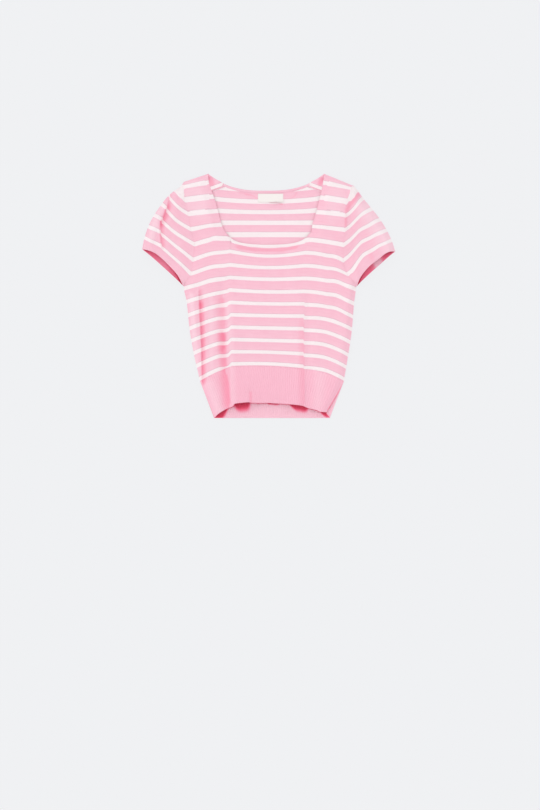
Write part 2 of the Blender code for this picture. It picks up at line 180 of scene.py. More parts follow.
leftCrease = ((-150, 8), (-149, -20), (-147, -60), (-144.5, -110), (-143.5, -182))
leftValley = ((-92, -40), (-87.5, -110), (-83.5, -165), (-82.5, -220))
sleeveCrease = (
    (-213, 214), (-218.8, 190), (-225, 172.6), (-231.7, 157.6), (-232.7, 136), (-230, 106),
)
frontNeckLine = (
    (-129, 244), (-118, 213), (-109, 182), (-101, 153), (-94, 137), (-77, 121),
    (-58, 114), (-30, 111), (27, 111), (55, 114), (74, 121), (91, 137),
    (93, 149), (102, 180), (110, 211), (117, 243),
)

# bands: reach west and east of a line that runs down, amount on the line, and the line
steps = [  # finer shapes of the front layer, in mm of height
    (9, 1.6, 2.6, leftCrease),
    (12, 2, 2.2, sleeveCrease),
    (2, 10, 0.9, leftValley),
    (10, 2, 0.8, ((77, -30), (78, -230))),
    (22, 22, -6.5, frontNeckLine),
    (7, 3, 0.8, ((167, 178), (165, 145))),
    (6, 10, -0.9, ((-40, -208), (-38, -232))),
    (16, 16, -0.8, ((40, 60), (25, -20))),
    (18, 18, 0.6, ((-20, 50), (-5, -60))),
    (14, 14, 0.7, ((120, 40), (122, -60))),
]
thinnings = [(7, 7, 0.72, frontNeckLine)]  # how much thinner the wall is, as a share
paintedShades = [  # painted shade along creases, valleys and edges; below 0, painted light where the cloth faces the light
    (1.5, 12, 0.35, leftCrease[:2]),
    (1.5, 13, 0.80, leftCrease[1:]),
    (10, 10, -0.25, ((-166, 0), (-156, -170))),
    (9, 9, -0.15, ((-124, 0), (-122, -165))),
    (18, 8, 0.36, ((-99.5, -10), (-98.5, -50), (-97, -110))),
    (17, 8, 0.60, ((-96.5, -85), (-95.5, -130), (-94, -152))),
    (21, 4.5, 0.50, ((-91, -171), (-88, -188), (-86.5, -205), (-85, -230))),
    (4, 14, -0.15, ((-88, -20), (-78, -225))),
    (18, 2.5, 0.22, ((75, -60), (76, -230))),
    (3, 14, 0.70, sleeveCrease[1:4]),
    (3, 12, 0.50, sleeveCrease[3:]),
    (3, 9, 0.25, sleeveCrease[:2]),
    (16, 12, -0.28, ((-232, 188), (-243, 160), (-250, 125))),
    (40, 40, -0.20, ((-160, 232), (-150, 185))),
    (36, 36, -0.14, ((150, 230), (140, 185))),
    (9, 7, 0.42, ((194, 220), (184, 205), (174, 195), (168, 183))),
    (4, 6, 0.30, ((165, 174), (165, 150))),
    (34, 34, -0.28, ((205, 188), (235, 145), (256, 112))),
    (8, 8, 0.16, ((216, 96), (222, 78))),
    (4, 12, 0.34, ((-66, 103), (-30, 97.5), (0, 97), (30, 97.5), (58, 103))),
    (5, 5, 0.30, ((-39, -208), (-38.5, -230))),
    (22, 22, -0.14, ((110, -170), (104, -238))),
    (3, 3, 1.1, ((160.5, -190), (144, -218), (126.5, -247))),     # painted shade along the edge of the front rib
    (16, 22, -0.22, ((-128, -190), (-108, -245))),
]
slips = [  # how far the stripes sit higher, in mm
    (26, 2, 4.5, sleeveCrease),
    (2, 32, 2.2, sleeveCrease[1:]),
    (40, 34, 3, ((-124, 125), (-124, 50))),
    (42, 8, -1.4, ((-88.5, 10), (-87, -165))),
    (23, 8, -3.2, ((-88.5, -30), (-87, -165))),
    (20, 8, -1.4, ((-88, -100), (-87, -165))),
    (2, 52, -3, ((76, -45), (76, -160))),
    (24, 24, 2.4, ((145, 85), (145, -35))),
    (18, 26, -3.6, ((176, 190), (178, 60))),
    (24, 24, -2.6, ((212, 150), (222, 100))),
    (16, 16, -1.6, ((240, 130), (247, 110))),
    (14, 14, -1.4, ((-72, 113), (-40, 108))),
    (22, 16, 2.4, ((-114, 123), (-96, 125))),
    (14, 14, -1.6, ((40, 108), (75, 113))),
]
whites = [  # how much wider half a white stripe is, as a share of the pitch
    (10, 10, 0.42, ((-200, 232), (-187, 219))),
    (8, 8, 0.42, ((-188, 236), (-187, 219))),
    (8.5, 8.5, 1.2, ((184.5, 234.5), (191, 229))),
    (9, 9, 1.2, ((184, 228), (178.5, 215))),
    (6, 6, 1.2, ((178.5, 215), (174.5, 208))),
    (40, 40, 0.045, ((-160, 232), (-155, 205))),
    (36, 36, 0.045, ((150, 230), (145, 205))),
    (12, 12, 0.04, ((-72, 115), (-40, 110), (36, 110), (70, 115))),
]
# painted shade on the back: lines along the flaps' creases and the rolled neck edge, and at the shoulder
# corners
backPaintedShades = [
    (2.2, 2.8, 0.60, ((2, 200.8), (12, 200.6), (20, 199.4), (28.5, 197.6))),      # painted shadow below the label's lifted edge
    (1.5, 1.5, 0.60, ((-122.7, 225.6), (-108.7, 232), (-98, 238))),
    (1.5, 1.5, 0.60, ((112, 226), (98, 232), (88, 237.5))),
    (3.5, 2, 0.20, ((-50, 219), (-33.9, 215.6), (-24.2, 210.3))),
    (3.5, 2, 0.20, ((30.6, 208.1), (45.7, 209.2), (54.3, 214.4), (60, 222))),
    (2.2, 2.2, 0.12, ((-62, 221.5), (-38, 218.5))),
    (10, 10, 0.45, ((-127, 254), (-122, 240))),
    (9, 8, 0.55, ((114, 250), (110, 240))),
]
print("tables read")


def smoothThrough(table, column, at):  # a smooth curve through a column of a table, by its first column
    xs, ys, at = table[:, 0], table[:, column], np.asarray(at, float)
    step = np.diff(xs)
    slope = np.diff(ys) / step
    tangent = np.zeros_like(ys)
    tangent[0], tangent[-1] = slope[0], slope[-1]
    sameWay = slope[:-1] * slope[1:] > 0
    safe = np.where(sameWay, slope[:-1] + slope[1:], 1.0)
    tangent[1:-1] = np.where(sameWay, 2 * slope[:-1] * slope[1:] / safe, 0.0)
    place = np.clip(np.searchsorted(xs, at, side="right") - 1, 0, len(step) - 1)
    t = (at - xs[place]) / step[place]
    t2, t3 = t * t, t * t * t
    return ((2 * t3 - 3 * t2 + 1) * ys[place] + (t3 - 2 * t2 + t) * step[place] * tangent[place]
            + (3 * t2 - 2 * t3) * ys[place + 1] + (t3 - t2) * step[place] * tangent[place + 1])


def smoothStep(low, high, value):
    t = np.clip((np.asarray(value, float) - low) / (high - low), 0, 1)
    return t * t * (3 - 2 * t)


def frontValue(name, course):
    return smoothThrough(frontRows, frontColumns.index(name), course)


def frontLine(name, course):
    return frontValue(name + "X", course), frontValue(name + "Y", course)


def frontPoint(u, course):  # u: 0 left edge, 1 and 3 neck lines, 4 right edge
    u, course = np.broadcast_arrays(np.asarray(u, float), np.asarray(course, float))
    (aX, aY), (bX, bY) = frontLine("a", course), frontLine("b", course)
    (leftX, leftY), (rightX, rightY) = frontLine("left", course), frontLine("right", course)
    left, across, right = 1 - np.clip(u, 0, 1), np.clip((u - 1) / 2, 0, 1), np.clip(u - 3, 0, 1)
    x = aX + (bX - aX) * across + (leftX - aX) * left + (rightX - bX) * right
    y = aY + (bY - aY) * across - ((aY + bY) / 2 - frontValue("midY", course)) * np.sin(pi * across)
    below = np.clip((course - cloth["neckCorner"]) / droop["change"], 0, 1)
    leftBend = droop["strap"] + (droop["left"] - droop["strap"]) * below
    rightBend = droop["strap"] + (droop["right"] - droop["strap"]) * below
    return x, y + (leftY - aY) * left ** leftBend + (rightY - bY) * right ** rightBend


def scoop(neck, x):  # y of the neck's edge
    across = np.clip(np.abs(np.asarray(x, float) - neck["middleX"]) / neck["halfWidth"], 0, 1)
    return neck["bottomY"] + neck["round"] * across ** 2 + neck["corner"] * across ** neck["power"]


def hemEdge(x):
    return smoothThrough(hemLine, 1, np.clip(x, hemLine[0, 0], hemLine[-1, 0]))


sleeve = {
    "underarmShift": 1.8,
    "bendFrom": 3.0,         # the rows take up the cuff's rise from this course on
    "underBow": 0.12,        # share of the cuff's rise in the edge of its underside
    "columns": 56,
    "towardFold": 1.25,      # power that crowds the columns toward the fold
    "turnSteps": 8,
    "edgeCourse": 24.0,      # mm to a course near the cuff
    # painted shade on the sleeve's inside face
    "insidePaintedShade": 0.6,
    "paintedShadeFade": 3.0,         # mm inward from the cuff's edge over which the inside face's painted shade changes to the cuff's
    "brimPaintedShade": 1.3,         # more painted shade close to the cuff's upper edge
    "brimFade": (3.2, 0.3),
}


def sleevePoint(side, course, q, bowed=1.0):  # q: 0 at the armhole, 1 at the outer fold
    rows = sleeveRows[side]
    course, q = np.broadcast_arrays(np.asarray(course, float), np.asarray(q, float))
    name = "left" if side < 0 else "right"
    seamCourse = np.minimum(course, cloth["underarm"])
    past = np.clip((course - cloth["underarm"]) / (cloth["cuff"] - cloth["underarm"]), 0, 1)
    seamX, seamY = frontLine(name, seamCourse)
    seamX, seamY = seamX + side * sleeve["underarmShift"] * past, seamY + sleeve["underarmShift"] * past
    runX, runY = smoothThrough(rows, 1, course) - seamX, smoothThrough(rows, 2, course) - seamY
    length = np.hypot(runX, runY)
    hump = smoothThrough(rows, 3, course) * np.sin(pi * q)
    edgeShadowLine = smoothThrough(cuffRise[side], 1, q)
    hump = (hump + (edgeShadowLine - hump) * np.clip(course - sleeve["bendFrom"], 0, 1)) * bowed
    x = seamX + runX * q - side * runY / length * hump
    y = seamY + runY * q + side * runX / length * hump
    return x, y, length


def closedEdges():  # where the front layer comes down to the back
    lines = []
    for side, name, peak in ((-1, "left", "a"), (1, "right", "b")):
        outer = [frontLine(peak, cloth["shoulder"]), frontLine(name, cloth["shoulder"])]
        fold = np.linspace(cloth["shoulder"], cloth["cuff"], 12)
        outer += [sleevePoint(side, course, 1.0)[:2] for course in fold]
        lower = [frontLine(name, course) for course in np.linspace(cloth["underarm"], cloth["ribTop"], 6)]
        lower.append((hem["left"], hem["backY"]) if side < 0 else hem["rightCorner"])
        lines += [outer, lower]
    return lines


def toSegment(x, y, ax, ay, bx, by):
    runX, runY = bx - ax, by - ay
    t = np.clip(((x - ax) * runX + (y - ay) * runY) / (runX ** 2 + runY ** 2), 0, 1)
    return np.hypot(x - ax - t * runX, y - ay - t * runY)


edges = closedEdges()


def bands(table, x, y):
    total = np.zeros(np.broadcast(x, y).shape)
    for west, east, amount, line in table:
        nearest, aside = np.full(total.shape, 1e9), np.zeros(total.shape)
        for (ax, ay), (bx, by) in zip(line[:-1], line[1:]):
            away = toSegment(x, y, ax, ay, bx, by)
            side = np.sign((bx - ax) * (y - ay) - (by - ay) * (x - ax))
            aside = np.where(away < nearest, side, aside)
            nearest = np.minimum(nearest, away)
        share = np.clip(nearest / np.where(aside > 0, east, west), 0, 1)
        total = total + amount * (1 - share ** 2) ** 2
    return total


def ripple(x, y):  # slow uneven waves, the same on every run
    waves = ((0.11, 0.05, 0.3), (-0.07, 0.12, 1.9), (0.17, -0.03, 4.1), (0.05, 0.19, 2.6), (0.21, 0.13, 5.2))
    return sum(np.sin(kx * x + ky * y + phase) for kx, ky, phase in waves) / len(waves)


def lift(x, y):  # gap between the back's inside and the front layer's inside
    x, y = np.asarray(x, float), np.asarray(y, float)
    edge = np.full(np.broadcast(x, y).shape, 1e9)
    for line in edges:
        for (ax, ay), (bx, by) in zip(line[:-1], line[1:]):
            edge = np.minimum(edge, toSegment(x, y, ax, ay, bx, by))
    inward = np.clip((edge - cloth["foldRadius"]) / cloth["edgeRoll"], 0, 1)
    toSleeve = smoothStep(*cloth["loftChange"], np.abs(x))
    height = cloth["bodyLoft"] + (cloth["sleeveLoft"] - cloth["bodyLoft"]) * toSleeve
    for ax, ay, bx, by, halfWidth, rise in folds:
        away = np.clip(toSegment(x, y, ax, ay, bx, by) / (2 * halfWidth), 0, 1)
        height = height + rise * (1 - away ** 2) ** 3
    height = height + cloth["ripple"] * ripple(x, y) + bands(steps, x, y)
    return cloth["seam"] + np.sin(pi / 2 * inward) * np.maximum(height, cloth["lowest"])


def placed(name, data):
    thing = bpy.data.objects.new(name, data)
    bpy.context.scene.collection.objects.link(thing)
    return thing


def newPiece(name, wall, material):
    points, faces, knit = wall
    mesh = bpy.data.meshes.new(name)
    mesh.from_pydata((np.asarray(points, float) * mm).tolist(), [], faces)
    mesh.update()
    layer = mesh.uv_layers.new(name="knit")
    corners = np.empty(len(mesh.loops), np.int32)
    mesh.loops.foreach_get("vertex_index", corners)
    layer.data.foreach_set("uv", np.asarray(knit, np.float32)[corners, :2].ravel())
    # the painted shade and the wider white stripes, as point attributes
    for column, attribute in ((2, "paintedShade"), (3, "moreWhite")):
        values = mesh.attributes.new(attribute, "FLOAT", "POINT")
        values.data.foreach_set("value", np.asarray(knit, np.float32)[:, column])
    mesh.shade_smooth()
    mesh.set_sharp_from_angle(angle=radians(cloth["sharpAngle"]))
    mesh.materials.append(material)
    piece = placed(name, mesh)
    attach(piece, "root")
    return piece


def wallMesh(top, bottom, present, knit, bulge, outside=0.0, inside=0.0, moreWhite=0.0):
    # a closed wall between two grids, with rounded rims that stand out by bulge
    # outside and inside are the shade painted on the two faces; below 0 it is painted light
    outside, inside, moreWhite = [np.zeros(bulge.shape) + value for value in (outside, inside, moreWhite)]
    knit = np.concatenate([knit, outside[:, :, None], moreWhite[:, :, None]], 2)
    rows, columns = present.shape
    used = np.zeros((rows + 1, columns + 1), bool)
    for i, j in ((0, 0), (0, 1), (1, 0), (1, 1)):
        used[i:i + rows, j:j + columns] |= present
    number = np.cumsum(used.ravel()).reshape(used.shape) - 1
    count = int(used.sum())
    points = [top[used], bottom[used]]
    coords = [knit[used], np.concatenate([knit[used][:, :2], inside[used][:, None], knit[used][:, 3:]], 1)]
    a, b = number[:-1, :-1][present], number[1:, :-1][present]
    c, d = number[1:, 1:][present], number[:-1, 1:][present]
    faces = np.stack([a, b, c, d], 1).tolist() + (np.stack([d, c, b, a], 1) + count).tolist()
    padded = np.pad(present, 1)
    rims = []  # the sides of cells that have no neighbour there
    for i, j in np.argwhere(present):
        ring = ((i, j), (i + 1, j), (i + 1, j + 1), (i, j + 1))
        beside = (padded[i + 1, j], padded[i + 2, j + 1], padded[i + 1, j + 2], padded[i, j + 1])
        for k in range(4):
            if not beside[k]:
                rims.append((ring[k], ring[(k + 1) % 4]))
    outward = {}  # the way out at each corner of a rim
    for p, q in rims:
        run = top[q] + bottom[q] - top[p] - bottom[p]
        out = np.array([run[1], -run[0], 0.0])
        out = out / (np.hypot(out[0], out[1]) + 1e-9)
        for corner in (p, q):
            outward[corner] = outward.get(corner, 0) + out
    turns = (pi / 4, pi / 2, 3 * pi / 4)
    extra, extraKnit, rimNumber = [], [], {}
    for corner, out in outward.items():
        out = out / (np.linalg.norm(out) + 1e-9)
        middle, arm = (top[corner] + bottom[corner]) / 2, (top[corner] - bottom[corner]) / 2
        rimNumber[corner] = 2 * count + len(extra)
        for turn in turns:
            extra.append(middle + arm * cos(turn) + out * np.linalg.norm(arm) * bulge[corner] * sin(turn))
            rimPaintedShade = outside[corner] + (inside[corner] - outside[corner]) * turn / pi
            extraKnit.append((knit[corner][0], knit[corner][1], rimPaintedShade, knit[corner][3]))
    for ends in rims:
        p, q = [[int(number[end]), *(rimNumber[end] + k for k in range(len(turns))), int(number[end]) + count]
                for end in ends]
        faces += [[q[k], p[k], p[k + 1], q[k + 1]] for k in range(len(turns) + 1)]
    points.append(np.array(extra))
    coords.append(np.array(extraKnit))
    return np.concatenate(points), faces, np.concatenate(coords)


def flatArea(points, present):  # of a grid of points, in square metres
    a, b = points[1:, 1:] - points[:-1, :-1], points[:-1, 1:] - points[1:, :-1]
    return float(np.linalg.norm(np.cross(a, b), axis=2)[present].sum() / 2 * mm * mm)


class Wire:  # a socket that can be used in sums
    def __init__(self, shader, socket):
        self.shader, self.socket = shader, socket

    def maths(self, operation, other=None, swapped=False):
        pair = (other, self) if swapped else (self, other)
        values = {index: value for index, value in enumerate(pair) if value is not None}
        return self.shader.add("ShaderNodeMath", {"operation": operation}, values)

    def part(self, index):  # another output of the same node
        return Wire(self.shader, self.socket.node.outputs[index])

    def __add__(self, other):
        return self.maths("ADD", other)

    def __radd__(self, other):
        return self.maths("ADD", other, True)

    def __sub__(self, other):
        return self.maths("SUBTRACT", other)

    def __rsub__(self, other):
        return self.maths("SUBTRACT", other, True)

    def __mul__(self, other):
        return self.maths("MULTIPLY", other)

    def __rmul__(self, other):
        return self.maths("MULTIPLY", other, True)

    def __truediv__(self, other):
        return self.maths("DIVIDE", other)

    def __rtruediv__(self, other):
        return self.maths("DIVIDE", other, True)

    def __pow__(self, other):
        return self.maths("POWER", other)

    def __rpow__(self, other):
        return self.maths("POWER", other, True)

    def fraction(self):
        return self.maths("FRACT")

    def size(self):
        return self.maths("ABSOLUTE")

    def floor(self):
        return self.maths("FLOOR")

    def over(self, limit):  # 1 above the limit, 0 below
        return self.maths("GREATER_THAN", limit)

    def atLeast(self, lowest):
        return self.maths("MAXIMUM", lowest)

    def wave(self):
        return self.maths("SINE")


class Shader:  # a material and its nodes
    def __init__(self, name):
        self.material = bpy.data.materials.new(name)
        self.material.use_nodes = True
        self.tree = self.material.node_tree
        self.surface = self.tree.nodes["Principled BSDF"]

    def add(self, kind, settings=None, values=None, output=0):
        node = self.tree.nodes.new(kind)
        for key, value in (settings or {}).items():
            if key == "stops":
                ramp = node.color_ramp.elements
                for index, (place, colour) in enumerate(value):
                    stop = ramp[index] if index < 2 else ramp.new(place)
                    stop.position, stop.color = place, colour
            else:
                setattr(node, key, value)
        for key, value in (values or {}).items():
            self.feed(node.inputs[key], value)
        return Wire(self, node.outputs[output])

    def feed(self, socket, value):
        if isinstance(value, Wire):
            self.tree.links.new(value.socket, socket)
        else:
            socket.default_value = value

    def mix(self, factor, first, second, way="MIX"):
        settings = {"data_type": "RGBA", "blend_type": way}
        return self.add("ShaderNodeMix", settings, {0: factor, 6: first, 7: second}, output=2)

    def noise(self, where, scale, detail):
        return self.add("ShaderNodeTexNoise", {}, {"Vector": where, "Scale": scale, "Detail": detail})

    def bump(self, height, distance, strength):
        values = {"Height": height, "Distance": distance, "Strength": strength}
        return self.add("ShaderNodeBump", {}, values)

    def scaled(self, where, factors):
        return self.add("ShaderNodeVectorMath", {"operation": "MULTIPLY"}, {0: where, 1: factors})

    def pointValue(self, name):
        return self.add("ShaderNodeAttribute", {"attribute_name": name}, {}, output=2)

    def knitPlace(self):  # across and along the knit, and the two together
        both = self.add("ShaderNodeUVMap", {"uv_map": "knit"})
        split = self.add("ShaderNodeSeparateXYZ", {}, {0: both})
        return split, split.part(1), both

    def finish(self, **values):
        for key, value in values.items():
            self.feed(self.surface.inputs[key.replace("_", " ")], value)
        return self.material


yarn = {
    "pink": (0.952, 0.585, 0.685, 1.0),
    "pinkDeep": (0.930, 0.500, 0.617, 1.0),
    "white": (0.948, 0.866, 0.876, 1.0),
    "ribPink": (0.945, 0.525, 0.635, 1.0),
    "edge": (0.70, 0.42, 0.51, 1.0),           # a painted shadow line: the course that meets a white stripe from above
    "stitchShade": (0.70, 0.25, 0.36, 1.0),
    "ribShade": (0.80, 0.27, 0.39, 1.0),
    "paintedLight": (0.96, 0.86, 0.90, 1.0),       # painted light, where the painted shade attribute is below 0
    "sheenTint": (1.0, 0.86, 0.90, 1.0),
    # how far the painted shade attribute reaches along the colour ramp
    "paintedShadeScale": 0.4,
    "whiteKeeps": 0.5,         # share of the painted shade that white yarn doesn't take
    "whiteShare": 0.164,       # half a white stripe, as a share of the stripe pitch
    # width of the painted shadow course, as a share of the stripe pitch
    "edgeCourse": 0.055,
    "wander": 0.012,           # unevenness of a stripe's edges
    "wanderScale": 0.09,
    "fading": 0.55,            # how much deeper a pink band is at its upper edge
    "streaks": 1.2,            # unevenness from course to course
    "streakScale": (0.035, 9.0, 1.0),
    "clouds": 0.6,             # and over larger places
    "cloudScale": 0.06,
    "ribCloudScale": 0.05,
    "evenness": 0.67,
    "stitchShadeShare": 0.10,
    "ribStitchShare": 0.08,
    "ribShadeShare": 0.11,
    "stitchWidth": 1.75,
    "stitchHeight": 1.3,
    "stitchDepth": 0.00035,
    "ribWidth": 4.4,
    "legSlant": 0.8,
    "fuzz": 0.35,
    "fuzzScale": 1.4,
    "bump": 0.7,
    "roughness": 0.78,
    "roughnessSpread": 0.12,
    "sheen": 0.25,
    "specular": 0.2,
}
rowsToStripe = cloth["stripePitch"] / yarn["stitchHeight"]

# painted shade: what the shade attribute does to a colour, deeper and redder pink in creases, hollows and
# openings
paintedShadeRamp = (
    (0.0, (1.0, 1.0, 1.0, 1.0)),
    (0.2, (1.0, 0.70, 0.77, 1.0)),
    (0.4, (0.99, 0.47, 0.58, 1.0)),
    (0.7, (0.96, 0.24, 0.36, 1.0)),
    (1.0, (0.68, 0.07, 0.14, 1.0)),
)


# paints shade into a colour by the shade attribute; below 0 it paints light
def withPaintedShade(shader, colour, share):
    paintedShade = shader.pointValue("paintedShade")
    passed = shader.add("ShaderNodeValToRGB", {"stops": paintedShadeRamp}, {"Fac": paintedShade * yarn["paintedShadeScale"]})
    colour = shader.mix(share, colour, passed, "MULTIPLY")
    return shader.mix((paintedShade * -1).atLeast(0.0), colour, yarn["paintedLight"])


def stitchRelief(wale, rise):  # two slanting legs to a stitch, as on the right side of jersey
    leg = (wale.fraction() - 0.5).size() * 2
    slanted = (rise + leg * yarn["legSlant"]) * (2 * pi)
    across = leg * (1 - leg) * 4
    return across ** 0.6 * (slanted.wave() * 0.3 + 0.7)


def finishYarn(shader, colour, relief, fuzz, share):
    colour = withPaintedShade(shader, colour, share)
    normal = shader.bump(relief + fuzz * yarn["fuzz"], yarn["stitchDepth"], yarn["bump"])
    roughness = fuzz * yarn["roughnessSpread"] + (yarn["roughness"] - yarn["roughnessSpread"] / 2)
    shader.finish(Base_Color=colour, Normal=normal, Roughness=roughness, Specular_IOR_Level=yarn["specular"])
    return shader.finish(Sheen_Weight=yarn["sheen"], Sheen_Tint=yarn["sheenTint"])


def stripedKnit(name, whiteFrom, whiteTo):
    shader = Shader(name)
    across, course, place = shader.knitPlace()
    wale = across / yarn["stitchWidth"]
    rise = course * rowsToStripe
    leg = (wale.fraction() - 0.5).size()
    wander = (shader.noise(place, yarn["wanderScale"], 2.0) - 0.5) * yarn["wander"]
    stepped = ((rise + leg * 1.2).floor() + 0.5) / rowsToStripe + wander  # colours change at whole rows
    toStripe = ((stepped + 0.5).fraction() - 0.5).size()
    moreWhite = shader.pointValue("moreWhite")
    inStripes = (stepped - whiteFrom).over(0.0) * (whiteTo - stepped).over(0.0)
    white = (moreWhite + yarn["whiteShare"] - toStripe).over(0.0) * inStripes
    # painted shadow line along the course just above each white stripe
    edgeShadowLine = (moreWhite + (yarn["whiteShare"] + yarn["edgeCourse"]) - toStripe).over(0.0) * inStripes - white
    clouds = shader.noise(place, yarn["cloudScale"], 3.0)
    fuzz = shader.noise(place, yarn["fuzzScale"], 2.0)
    streaks = shader.noise(shader.scaled(place, yarn["streakScale"]), 1.0, 2.0)
    fading = 1 - stepped.fraction()  # 0.84 just below a white stripe, 0.16 just above the next
    deep = fading * yarn["fading"] + streaks * yarn["streaks"] + clouds * yarn["clouds"] - yarn["evenness"]
    pink = shader.mix(deep, yarn["pink"], yarn["pinkDeep"])
    pink = shader.mix(edgeShadowLine * stepped.fraction().over(0.5) * streaks, pink, yarn["edge"])
    colour = shader.mix(white, pink, yarn["white"])
    relief = stitchRelief(wale, rise)
    colour = shader.mix((1 - relief) * yarn["stitchShadeShare"], colour, yarn["stitchShade"])
    return finishYarn(shader, colour, relief, fuzz, 1 - white * yarn["whiteKeeps"])


def ribKnit(name):
    shader = Shader(name)
    rib, course, place = shader.knitPlace()  # rib counts the ribs here
    ridge = 1 - ((rib.fraction() - 0.5).size() * 2) ** 2.0
    relief = stitchRelief(rib * 2, course * rowsToStripe)
    spread = shader.scaled(place, (yarn["ribWidth"], cloth["stripePitch"], 1.0))
    fuzz = shader.noise(spread, yarn["fuzzScale"], 2.0)
    pink = shader.mix(shader.noise(spread, yarn["ribCloudScale"], 3.0), yarn["ribPink"], yarn["pinkDeep"])
    colour = shader.mix((1 - ridge) * yarn["ribShadeShare"], pink, yarn["ribShade"])
    colour = shader.mix((1 - relief) * yarn["ribStitchShare"], colour, yarn["stitchShade"])
    return finishYarn(shader, colour, relief, fuzz, 1.0)


ribbon = {
    "colour": (0.875, 0.833, 0.808, 1.0),
    "darker": (0.82, 0.770, 0.742, 1.0),
    "threadPitch": 0.35,
    "threadDepth": 0.00006,
    "bump": 0.6,
    "roughness": 0.45,
    "roughnessSpread": 0.1,
    "sheen": 0.1,
    "specular": 0.35,
}


def ribbonCloth(name):
    shader = Shader(name)
    across, down, place = shader.knitPlace()
    turn = 2 * pi / ribbon["threadPitch"]
    weave = shader.bump((across * turn).wave() * (down * turn).wave(), ribbon["threadDepth"], ribbon["bump"])
    fleck = shader.noise(place, 0.8, 2.0)
    colour = shader.mix(fleck, ribbon["colour"], ribbon["darker"])
    roughness = fleck * ribbon["roughnessSpread"] + ribbon["roughness"]
    shader.finish(Base_Color=colour, Normal=weave, Roughness=roughness)
    return shader.finish(Sheen_Weight=ribbon["sheen"], Specular_IOR_Level=ribbon["specular"])


materials = {
    "front": stripedKnit("stripedKnit", -3.5, 11.5),
    "back": stripedKnit("stripedKnitBack", -4.5, 11.5),
    "sleeve": stripedKnit("stripedKnitSleeve", -3.5, 3.5),
    "rib": ribKnit("ribbedKnit"),
    "label": ribbonCloth("blankRibbon"),
}
print("materials made:", len(materials))


def waleOf(x, course):  # stitches keep their count where the body narrows to the hem
    wide = frontValue("rightX", cloth["underarm"]) - frontValue("leftX", cloth["underarm"])
    below = np.maximum(course, cloth["underarm"])
    left, right = frontValue("leftX", below), frontValue("rightX", below)
    return (x - (left + right) / 2) * wide / (right - left)


front = {
    "sideColumns": 60,
    "middleColumns": 80,
    "probeFrom": -0.05,      # courses between which the scoop's edge is looked for
    "probeTo": 2.0,
    "probes": 200,
    # painted shade on the front's inside face
    "insidePaintedShade": 1.6,
}


def makeFront():
    shoulder, corner, ribTop = cloth["shoulder"], cloth["neckCorner"], cloth["ribTop"]
    strapRows = round((corner - shoulder) / cloth["rowStep"])
    bodyRows = round((ribTop - corner) / cloth["rowStep"])
    courses = np.concatenate([np.linspace(shoulder, corner, strapRows + 1),
                              np.linspace(corner, ribTop, bodyRows + 1)[1:]])
    side, middle = front["sideColumns"], front["middleColumns"]
    us = np.concatenate([np.linspace(0, 1, side + 1), np.linspace(1, 3, middle + 1)[1:],
                         np.linspace(3, 4, side + 1)[1:]])
    bottom = np.zeros((len(courses), len(us), 3))
    knit = np.zeros((len(courses), len(us), 2))
    probe = np.linspace(front["probeFrom"], front["probeTo"], front["probes"])
    share = (courses - corner) / (ribTop - corner)
    for j, u in enumerate(us):
        course = courses
        if side < j < side + middle:
            probeX, probeY = frontPoint(u, probe)
            edge = float(np.interp(0.0, (probeY - scoop(frontNeck, probeX))[::-1], probe[::-1]))
            course = np.where(share < 0, edge, edge + share * (ribTop - edge))
        bottom[:, j, 0], bottom[:, j, 1] = frontPoint(u, course)
        knit[:, j, 0], knit[:, j, 1] = waleOf(bottom[:, j, 0], course), course
    x, y = bottom[:, :, 0], bottom[:, :, 1]
    knit[:, :, 1] += bands(slips, x, y) / cloth["stripePitch"]
    bottom[:, :, 2] = cloth["wall"] + lift(x, y)
    top = bottom.copy()
    top[:, :, 2] += cloth["wall"] * (1 - bands(thinnings, x, y))
    present = np.ones((len(courses) - 1, len(us) - 1), bool)
    present[:strapRows, side:side + middle] = False
    bulge = np.full(x.shape, rimRound["sewn"])
    bulge[:strapRows + 1, side] = bulge[:strapRows + 1, side + middle] = rimRound["open"]
    bulge[strapRows, side:side + middle + 1] = rimRound["open"]
    # shade and light painted on the outer face by the bands; painted shade on the inner face
    outside, moreWhite = bands(paintedShades, x, y), bands(whites, x, y)
    wall = wallMesh(top, bottom, present, knit, bulge, outside, front["insidePaintedShade"], moreWhite)
    piece = newPiece("front", wall, materials["front"])
    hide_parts("front_panel")
    flatArea(top, present)


back = {
    "rowShares": (0.0, 0.03, 0.15, 1.0),            # rows of the mesh crowd toward the neck
    "rowCounts": (22, 40, 120),
    "columns": 160,
    "courseY": (262.0, 204.8, 181.4, 157.3, 132.1, -184.0),      # the middle of the back has these courses
    "courses": (-4.367, -2.0, -1.0, 0.0, 1.0, 11.2),
    "toSides": 6,            # power by which they give way to the side seams' courses
    "sag": 5.5,              # the stripes hang by this at sagReach from the middle
    "sagReach": 105.0,
    "sagRange": (-2.5, 4.0),
    "sagY": (150.0, 204.0),
    "flapLeft": (-121.0, 232.0, -98.0, 240.0),      # the flap's lower edge, over the crease
    "flapRight": (110.0, 232.0, 87.0, 240.0),
    "flapBeyond": 92.0,      # from the middle
    "flapCourse": -4.0,
    "flapPitch": 24.5,
    "flapOverlap": 6.5,
    "flapEdge": 1.5,
    "flapRise": 2.2,
    "flapFade": 40.0,
    "roll": 4.6,             # width of the rolled neck edge
    "rollHeight": 1.7,
    "rollCourse": -2.5,
    "rollEnds": (-96.0, 86.0),
    "underside": 0.5,        # share of the rise that the underside follows
    "waveHeight": 0.25,      # of the small waves that show through the scoop
    "waveDepth": 0.2,
    "waveY": (60.0, 90.0),
    "coveredPaintedShade": 1.6,      # painted shade where the front lies over it
    # a little painted light elsewhere
    "openPaintedLight": -0.03,
    "coverFade": 14.0,
    "moreWhite": 0.034,
    "moreWhiteY": (222.0, 205.0),
}


def neckSide(name, y):  # x of the front's neck line at some height
    xs, ys = frontLine(name, frontRows[frontRows[:, 0] <= cloth["neckCorner"], 0])
    return np.interp(y, ys[::-1], xs[::-1])


